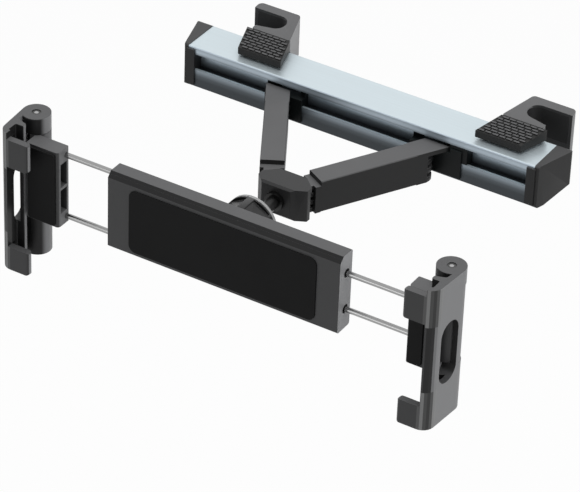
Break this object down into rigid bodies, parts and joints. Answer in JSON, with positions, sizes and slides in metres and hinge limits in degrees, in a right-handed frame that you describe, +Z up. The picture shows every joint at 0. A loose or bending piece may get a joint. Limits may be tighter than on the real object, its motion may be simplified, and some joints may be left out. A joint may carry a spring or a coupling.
{
  "type": "headrest tablet mount",
  "caption": "Headrest tablet mount: slotted aluminium rail with sliding post hooks, folding V linkage, ball joint and a holder whose sprung jaws carry hinged C grips.",
  "frame": {"origin": "midway between the two headrest post axes, at the middle of the rail's height", "axes": "+X along the rail to the right as seen by the viewer, +Y towards the headrest, +Z up along the posts"},
  "size_m": [0.3146, 0.2332, 0.101],
  "materials": {
    "extrusion": "anodised silver, fine brushed",
    "plastic": "fine matt grain",
    "dark_plastic": "matt, a little darker",
    "soft_rubber": "smooth matt rubber",
    "rod_steel": "polished",
    "pin_steel": "turned",
    "black_steel": "blackened and turned",
    "spring_steel": "drawn wire",
    "bearing": "smooth low-friction plastic"
  },
  "bodies": {
    "rail": {"rail_extrusion": "extrusion", "end_cap_left": "dark_plastic", "end_cap_right": "dark_plastic"},
    "hook_left": {"hook_left": "plastic", "hook_liner_left": "soft_rubber", "button_spring_left": "spring_steel"},
    "button_left": {"button_left": "plastic"},
    "carriage_left": {"carriage_left": "dark_plastic", "carriage_pin_left": "pin_steel"},
    "arm_left": {"arm_left": "plastic"},
    "jaw_left": {"bracket_left": "plastic", "bracket_pad_left": "soft_rubber", "rod_left_upper": "rod_steel", "rod_left_lower": "rod_steel"},
    "grip_left": {"grip_left": "plastic", "grip_pads_left": "soft_rubber", "grip_pin_left": "pin_steel"},
    "hook_right": {"hook_right": "plastic", "hook_liner_right": "soft_rubber", "button_spring_right": "spring_steel"},
    "button_right": {"button_right": "plastic"},
    "carriage_right": {"carriage_right": "dark_plastic", "carriage_pin_right": "pin_steel"},
    "arm_right": {"arm_right": "plastic"},
    "jaw_right": {"bracket_right": "plastic", "bracket_pad_right": "soft_rubber", "rod_right_upper": "rod_steel", "rod_right_lower": "rod_steel"},
    "grip_right": {"grip_right": "plastic", "grip_pads_right": "soft_rubber", "grip_pin_right": "pin_steel"},
    "centre_block": {"centre_block": "plastic", "block_pin_left": "pin_steel", "block_pin_right": "pin_steel", "ball_stud": "black_steel"},
    "seat_rear": {"ball_seat_rear": "bearing"},
    "seat_front": {"ball_seat_front": "bearing"},
    "holder": {"holder_rear_shell": "plastic", "holder_front_shell": "plastic", "holder_pad": "soft_rubber", "jaw_spring_left_upper": "spring_steel", "jaw_spring_left_lower": "spring_steel", "jaw_spring_right_upper": "spring_steel", "jaw_spring_right_lower": "spring_steel"},
    "locking_nut": {"locking_nut": "dark_plastic"}
  },
  "joints": [
    {"name": "hook_left_slide", "type": "slide", "parent": "rail", "child": "hook_left", "axis": [1, 0, 0], "range_m": [-0.028, 0.04]},
    {"name": "hook_right_slide", "type": "slide", "parent": "rail", "child": "hook_right", "axis": [1, 0, 0], "range_m": [-0.04, 0.01]},
    {"name": "button_left_press", "type": "slide", "parent": "hook_left", "child": "button_left", "axis": [0, 0, -1], "range_m": [0, 0.0012], "stiffness_N_per_m": 600, "deforming": ["button_spring_left"]},
    {"name": "button_right_press", "type": "slide", "parent": "hook_right", "child": "button_right", "axis": [0, 0, -1], "range_m": [0, 0.0012], "stiffness_N_per_m": 600, "deforming": ["button_spring_right"]},
    {"name": "carriage_left_slide", "type": "slide", "parent": "rail", "child": "carriage_left", "axis": [1, 0, 0], "range_m": [-0.0375, 0.03]},
    {"name": "fold", "type": "hinge", "parent": "carriage_left", "child": "arm_left", "pos_m": [-0.06375, -0.0511, -0.0042], "axis": [0, 0, 1], "range_deg": [-24, 30]},
    {"name": "block_left_hinge", "type": "hinge", "parent": "arm_left", "child": "centre_block", "pos_m": [-0.0213, -0.12612, -0.0042], "axis": [0, 0, 1], "range_deg": [-30, 24]},
    {"name": "block_right_hinge", "type": "hinge", "parent": "centre_block", "child": "arm_right", "pos_m": [0.0001, -0.12612, -0.0042], "axis": [0, 0, 1], "range_deg": [-30, 24]},
    {"name": "carriage_right_hinge", "type": "hinge", "parent": "arm_right", "child": "carriage_right", "pos_m": [0.04255, -0.0511, -0.0042], "axis": [0, 0, 1], "range_deg": [-24, 30]},
    {"name": "ball_tilt", "type": "hinge", "parent": "centre_block", "child": "seat_rear", "pos_m": [-0.0094, -0.17472, -0.0042], "axis": [1, 0, 0], "range_deg": [-15, 15]},
    {"name": "ball_pan", "type": "hinge", "parent": "seat_rear", "child": "seat_front", "pos_m": [-0.0094, -0.17472, -0.0042], "axis": [0, 0, 1], "range_deg": [-15, 15]},
    {"name": "ball_roll", "type": "hinge", "parent": "seat_front", "child": "holder", "pos_m": [-0.0094, -0.17472, -0.0042], "axis": [0, 1, 0], "continuous": true},
    {"name": "nut_turn", "type": "hinge", "parent": "holder", "child": "locking_nut", "pos_m": [-0.0094, -0.17472, -0.0042], "axis": [0, 1, 0], "continuous": true},
    {"name": "jaw_left_slide", "type": "slide", "parent": "holder", "child": "jaw_left", "axis": [1, 0, 0], "range_m": [-0.008, 0.033], "deforming": ["jaw_spring_left_upper", "jaw_spring_left_lower"]},
    {"name": "jaw_right_slide", "type": "slide", "parent": "holder", "child": "jaw_right", "axis": [-1, 0, 0], "range_m": [-0.008, 0.041], "deforming": ["jaw_spring_right_upper", "jaw_spring_right_lower"]},
    {"name": "grip_left_turn", "type": "hinge", "parent": "jaw_left", "child": "grip_left", "pos_m": [-0.155, -0.18873, -0.0055], "axis": [0, 0, -1], "range_deg": [0, 90]},
    {"name": "grip_right_turn", "type": "hinge", "parent": "jaw_right", "child": "grip_right", "pos_m": [0.141, -0.18873, -0.0055], "axis": [0, 0, 1], "range_deg": [0, 90]}
  ],
  "couplings": [
    {"joint": "carriage_left_slide", "follows": "fold", "m_per_rad": -0.07},
    {"joint": "block_left_hinge", "follows": "fold", "ratio": -1},
    {"joint": "block_right_hinge", "follows": "fold", "ratio": -1},
    {"joint": "carriage_right_hinge", "follows": "fold", "ratio": 1}
  ]
}
